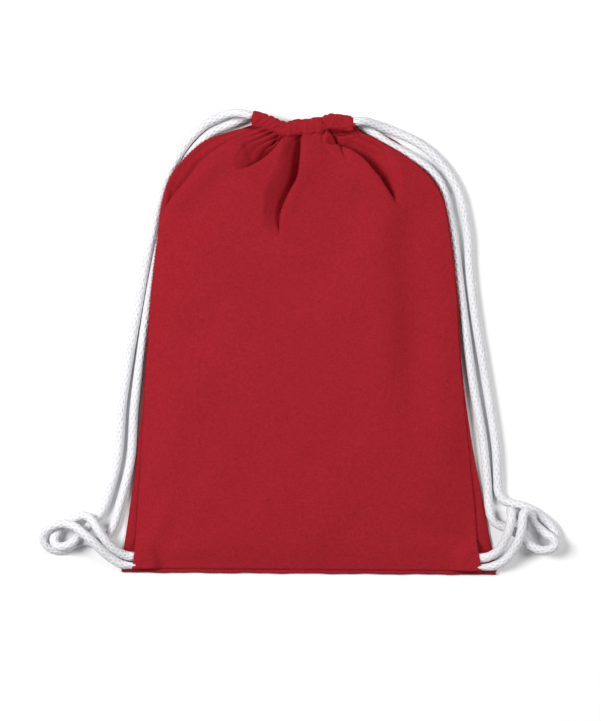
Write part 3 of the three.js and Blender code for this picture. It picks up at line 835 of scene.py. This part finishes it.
def panel_grid(front):
    """Points of a panel, rows from the bottom seam to the casing, columns from left to right."""
    neck_y = EDGES[LAST][0][1]
    heights = np.concatenate([np.arange(PANEL_LOW, FINE_FROM, ROW_STEP),
                              np.arange(FINE_FROM, neck_y, FINE_ROW_STEP),
                              [neck_y] * (len(OVER_CASING) + 1)])
    over = np.zeros(len(heights))[:, None]
    over[-len(OVER_CASING):, 0] = OVER_CASING
    mean_y = (SIDE_CURVES[0][:, 1] + SIDE_CURVES[1][:, 1]) / 2
    t = np.interp(heights, mean_y, SIDE_T)[:, None]
    s = np.linspace(0, 1, PANEL_COLUMNS)[None, :]
    left, right = stitch_point(0, t[:, 0])[:, None, :], stitch_point(1, t[:, 0])[:, None, :]
    flat = left + (right - left) * s[..., None]
    x = flat[..., 0]
    neck = smooth(LAST - 4.5, LAST, t)
    along_neck = NECK_LEFT + (NECK_RIGHT - NECK_LEFT) * s
    dip = casing_top(along_neck) - CASING_WIDTH - flat[-1:, :, 1]
    sag = 4 * s * (1 - s) * along(NECK_SAG, t)
    inward = np.minimum(s, 1 - s) * (right - left)[..., 0]
    hold_edge = np.where(dip > 0, 1, smooth(0, 14, inward))
    y = flat[..., 1] - sag * (1 - neck * 0.6) + dip * neck * hold_edge + over * lap(along_neck)
    last_row = over > 0.9
    lapped = casing_profile(along_neck, y) + LAP_LIFT - LAP_END_DROP * last_row

    # Heights: the edge lies on the seam, and the neck on its casing.
    seam = seam_height(t)
    at_neck = smooth(LAST - 0.7, LAST, t)
    gathered = np.exp(-(LAST - t) / GATHERS_RUN)
    body = smooth(0, 45, inward) * smooth(-228, -190, y) * (1 - smooth(170, 205, y))
    if front:
        edge = seam + SEAM_HALF + corner_hump(x, y)
        edge = edge + (FRONT_RUN_Z + NECK_RISE - edge) * at_neck
        crown = np.maximum(along(CROWN, t), edge)
        z = edge + (crown - edge) * (1 - (1 - np.clip(inward / CROWN_REACH, 0, 1)) ** CROWN_POWER)
        drop, lean = front_folds(x, y)
        hold = smooth(0, FOLDS_FROM, inward) * (1 - 0.75 * smooth(LAST - 0.9, LAST, t))
        z = z + drop * hold + undulation(x, y, FRONT_WAVES) * body
        z = z + gathers(along_neck, FRONT_GATHERS) * gathered
        least = FRONT_RUN_Z + CORD_COVER + 0.8 - LAP_END_DROP * last_row
        lapped = np.maximum(z - NECK_RISE + lapped, least)
        z = np.where(over > 0, lapped, z)
        x = x + lean[..., 0] * hold
        y = y + lean[..., 1] * hold
    else:
        edge = seam - SEAM_HALF
        edge = edge + (BACK_RUN_Z - NECK_RISE - edge) * at_neck
        low = CLOTH / 2 + 0.15 + (BACK_RUN_Z - NECK_RISE - CLOTH / 2) * smooth(LAST - 3, LAST, t)
        z = edge + (np.minimum(edge, low) - edge) * smooth(*FLAT_INSIDE, inward)
        ripple = np.abs(undulation(x, y, BACK_WAVES)) * body * RIPPLE
        z = z + ripple - gathers(along_neck, BACK_GATHERS) * gathered * BACK_GATHERED + 1.0 * last_row
        z = np.maximum(z, CLOTH / 2 + 0.05)
    return np.stack([x, y, z], axis=-1)


def add_cloth_grid(name, points, node):
    """A sheet of cloth from rows of points."""
    rows, columns = points.shape[:2]
    cloth = new_object(name, points.reshape(-1, 3), grid_faces(rows, columns), RED)
    solidify(cloth)
    return stands_on_bag(cloth, node)


front_grid = panel_grid(True)
back_grid = panel_grid(False)
front_cloth = add_cloth_grid("front_panel_cloth", front_grid, "front_panel")
back_cloth = add_cloth_grid("back_panel_cloth", back_grid, "back_panel")


# --- casings ------------------------------------------------------------------------------------------
def in_slit(x, c, s, outside):
    """Whether a place on a casing's section lies in one of the two slits of its inner face."""
    inner = np.sign(s) == -outside and abs(s) > SLIT_FACE
    left_slit = x < NECK_LEFT + SLIT_LENGTH and -SLIT_BELOW < c < SLIT_ABOVE
    right_slit = x > NECK_RIGHT - SLIT_LENGTH and -SLIT_ABOVE < c < SLIT_BELOW
    return inner and (left_slit or right_slit)


def add_casing(which, centre_z, grooves, outside):
    """A gathered tunnel of cloth, open at its ends, with a slit at each end for the cord's turn.

    `outside` is 1 where the outer face looks up and -1 where it looks down."""
    x = np.arange(NECK_LEFT - 0.8, NECK_RIGHT + 0.6, CASING_STEP)
    angle = circle(CASING_SIDES)
    top = casing_top(x)
    end = np.minimum(x - x[0], x[-1] - x)
    pull_in = END_PULL * (1 - smooth(0, 3.5, end))
    half_width = CASING_HALF_WIDTH - pull_in
    middle = top - half_width - pull_in
    c, s = np.cos(angle), np.sin(angle)
    square = (np.abs(c) ** CASING_POWER + np.abs(s) ** CASING_POWER) ** (-1 / CASING_POWER)
    y = middle[:, None] + half_width[:, None] * (c * square)[None, :]
    bulge = CASING_HALF_HEIGHT * (1 + 0.03 * np.sin(x / 3.1) + 0.02 * np.sin(x / 1.7 + 2))
    bulge -= 0.5 * (1 - smooth(0, 4, end))
    z = centre_z + bulge[:, None] * (s * square)[None, :]

    groove = gathers(x[:, None] + slant(x)[:, None] * (top[:, None] - y), grooves)
    facing = np.clip(outside * s, 0, 1)[None, :] ** GROOVE_SPREAD
    towards_body = (0.55 - 0.45 * c)[None, :]
    z = z + outside * groove * facing * towards_body
    if outside > 0:
        drop, _ = front_folds(np.broadcast_to(x[:, None], y.shape), y)
        pressed = z + drop * facing * FOLD_SHARE
        z = np.where(s[None, :] > 0, np.maximum(pressed, np.minimum(z, FRONT_RUN_Z + CORD_COVER)), z)
    y = y + 0.35 * groove * np.clip(c, 0, 1)[None, :] ** 2
    z = np.maximum(z, CLOTH / 2 + 0.1)
    points = np.stack([np.broadcast_to(x[:, None], y.shape), y, z], axis=-1)

    faces = []
    for face in grid_faces(len(x), CASING_SIDES, wrap=True):
        ring, column = divmod(face[0], CASING_SIDES)
        if not in_slit(x[ring], c[column], s[column], outside):
            faces.append(face)
    casing = new_object(f"{which}_casing_cloth", points.reshape(-1, 3), faces, RED)
    solidify(casing)
    return stands_on_bag(casing, f"{which}_casing")


front_casing = add_casing("front", FRONT_RUN_Z, FRONT_GATHERS, 1)
back_casing = add_casing("back", BACK_RUN_Z, BACK_GATHERS, -1)


# --- seams --------------------------------------------------------------------------------------------
SIDE_SEAM_SIDES = 18
BOTTOM_SEAM_SIDES = 16
BOTTOM_SEAM_REACH = 2.1       # half its width
BOTTOM_SEAM_HALF = 1.35       # half its thickness
BOTTOM_SEAM_SHIFT = (-1.5, 0.3)    # of its middle from the bottom edge: out, and up


def add_seam(name, points, node):
    """A rolled seam from rings of points, closed at its ends."""
    seam = new_object(name, points.reshape(-1, 3), tube_faces(*points.shape[:2]), SHADED_SEAM_RED)
    return stands_on_bag(seam, node)


def add_side_seam(side):
    """The rolled strip outside the stitch line."""
    word = ("left", "right")[side]
    t = np.concatenate([np.linspace(0, 2, 60), np.linspace(2, LAST - 0.04, 350)[1:]])
    angle = circle(SIDE_SEAM_SIDES)
    width = seam_width(side, t)
    outward, middle = np.cos(angle), width[:, None] / 2
    rolled = 1 + 0.12 * np.sin(t * 23) + 0.08 * np.sin(t * 57 + 1)
    spread = (1.0 + SEAM_SPREAD[side] * smooth(3.2, 5, t))[:, None]
    inset = middle + 0.5 - (middle + 0.5) * outward[None, :]
    inset = np.where(outward[None, :] > 0, inset - spread * outward[None, :], inset)
    place = np.stack([inset_point(side, t, inset[:, k]) for k in range(len(angle))], axis=1)
    thick = np.interp(width, [3, 9], [1.25, 0.95])[:, None] * rolled[:, None]
    round_off = np.abs(np.sin(angle)) ** 0.7 * np.sign(np.sin(angle))
    z = np.maximum(seam_height(t)[:, None] + thick * round_off[None, :], 0.25)
    points = np.concatenate([place, z[..., None]], axis=-1)
    return add_seam(f"side_seam_{word}_rolled", points, f"side_seam_{word}")


def bottom_line(k):
    """Points along the bottom edge, at the parts k of its length."""
    left, right = EDGES[0]
    return left + (right - left) * k[:, None]


def add_bottom_seam():
    """The rolled strip below the row of stitches at the bottom."""
    k = np.linspace(0, 1, 190)
    angle = circle(BOTTOM_SEAM_SIDES)
    line = bottom_line(k)
    wander = 0.25 * np.sin(k * 41) + 0.15 * np.sin(k * 97 + 1)
    out, up = BOTTOM_SEAM_SHIFT
    half = BOTTOM_SEAM_HALF + 0.12 * np.sin(k * 63)
    y = line[:, 1:2] + out + wander[:, None] + BOTTOM_SEAM_REACH * np.cos(angle)[None, :]
    z = CORNER_SEAM_Z + up + half[:, None] * np.sin(angle)[None, :]
    points = np.stack([np.broadcast_to(line[:, :1], y.shape), y, z], axis=-1)
    return add_seam("bottom_seam_rolled", points, "bottom_seam")


def add_shoulder_tuck():
    """A fold of the back panel that slips out under the cord at the right shoulder."""
    line = catmull_rom(
        [(68, 206.5, 0), (76, 206, 0), (85, 201.4, 0), (92, 196.8, 0), (99, 190.5, 0)], 1.2)
    direction = unit(np.gradient(line, axis=0))
    outward = np.stack([-direction[:, 1], direction[:, 0], np.zeros(len(line))], axis=1)
    taper = np.sin(np.linspace(0.12, math.pi - 0.12, len(line)))[:, None]
    across = np.linspace(-15, 1.6, 16)
    height = np.interp(across, [-15, -4, -1, 0.8, 1.6], [1.0, 1.2, 2.0, 2.6, 1.2])
    points = line[:, None, :] + outward[:, None, :] * (across * np.where(across > 0, taper, 1))[..., None]
    points[..., 2] = height * np.where(across > -4, 0.5 + 0.5 * taper, 1)
    return add_cloth_grid("back_panel_tuck", points, "back_panel")


STITCH = 3.4                  # spacing of the stitches
STITCH_LENGTH = 2.5
STITCH_RADIUS = 0.36
STITCH_SIDES = 6
STITCH_DIP = 0.5              # how far a stitch's ends go down into the cloth
STITCH_LEAN = 0.14
SIDE_ROW_OUT = 0.7
SIDE_ROW_LIFT = 1.25
BOTTOM_ROW_IN = 0.6
BOTTOM_ROW_LIFT = 1.9
CASING_ROW_LIFT = 0.55
TACK_LIFT = 0.5
TACK_POINTS = 12
# Rings of one stitch: place along it, as part of its length, and thickness as part of its radius.
STITCH_RINGS = ((-0.5, 0.45), (-0.28, 0.95), (0.28, 0.95), (0.5, 0.45))


def add_stitches(name, path, node):
    """A row of lockstitches along a path, each a short thread that dips in at its ends."""
    at = resample(path, STITCH)
    direction = unit(np.gradient(at, axis=0))
    vertices, faces = [], []
    for centre, forward in zip(at, direction):
        across = unit(np.cross(forward, [0, 0, 1.0]))
        up = np.cross(across, forward)
        base = len(vertices)
        for k, thick in STITCH_RINGS:
            dip = STITCH_DIP if abs(k) > 0.4 else 0
            ring = centre + (forward + STITCH_LEAN * across) * (k * STITCH_LENGTH) - up * dip
            vertices += [ring + STITCH_RADIUS * thick * (math.cos(a) * across + math.sin(a) * up)
                         for a in circle(STITCH_SIDES)]
        *around, first_end, last_end = tube_faces(len(STITCH_RINGS), STITCH_SIDES)
        for face in (*around, first_end, last_end[::-1]):
            faces.append(tuple(base + v for v in face))
    stitches = new_object(name, vertices, faces, THREAD_RED)
    return stands_on_bag(stitches, node)


def side_stitch_path(side):
    """The row of stitches on a side seam, just outside the front's edge."""
    t = np.concatenate([np.linspace(0.12, 2, 30), np.linspace(2, LAST - 1.1, 160)[1:]])
    place = inset_point(side, t, seam_width(side, t) - SIDE_ROW_OUT)
    return np.column_stack([place, seam_height(t) + SIDE_ROW_LIFT])


def bottom_stitch_path():
    """The row of stitches just inside the bottom edge."""
    line = bottom_line(np.linspace(0.03, 0.97, 60))
    z = np.full(len(line), CORNER_SEAM_Z + BOTTOM_ROW_LIFT)
    return np.column_stack([line[:, 0], line[:, 1] + BOTTOM_ROW_IN, z])


def corner_tack_path(x0, x1, y):
    """A short bar across the seam where the cords go in, lying on the front cloth."""
    x = np.linspace(x0, x1, TACK_POINTS)
    cloth = front_grid.reshape(-1, 3)
    z = [cloth[np.argmin(np.hypot(cloth[:, 0] - v, cloth[:, 1] - y)), 2] for v in x]
    return np.column_stack([x, np.full(len(x), y), np.array(z) + TACK_LIFT])


back_tuck = add_shoulder_tuck()
side_seams = [add_side_seam(0), add_side_seam(1)]
bottom_seam = add_bottom_seam()
side_stitches = [
    add_stitches("side_stitches_left", side_stitch_path(0), "side_stitching_left"),
    add_stitches("side_stitches_right", side_stitch_path(1), "side_stitching_right"),
]
bottom_stitches = add_stitches("bottom_stitches", bottom_stitch_path(), "bottom_stitching")
side_stitches += [
    add_stitches("corner_tack_left", corner_tack_path(-174, -167, -207.3), "side_stitching_left"),
    add_stitches("corner_tack_right", corner_tack_path(162, 169.5, -208.3), "side_stitching_right"),
]
for word, grid, rows_up, upward in (("front", front_grid, 2, 1), ("back", back_grid, -2, -1)):
    row = grid[rows_up - len(OVER_CASING), 5:-5] + [0, 0, upward * CASING_ROW_LIFT]
    add_stitches(f"{word}_casing_stitches", row, f"{word}_casing_stitching")
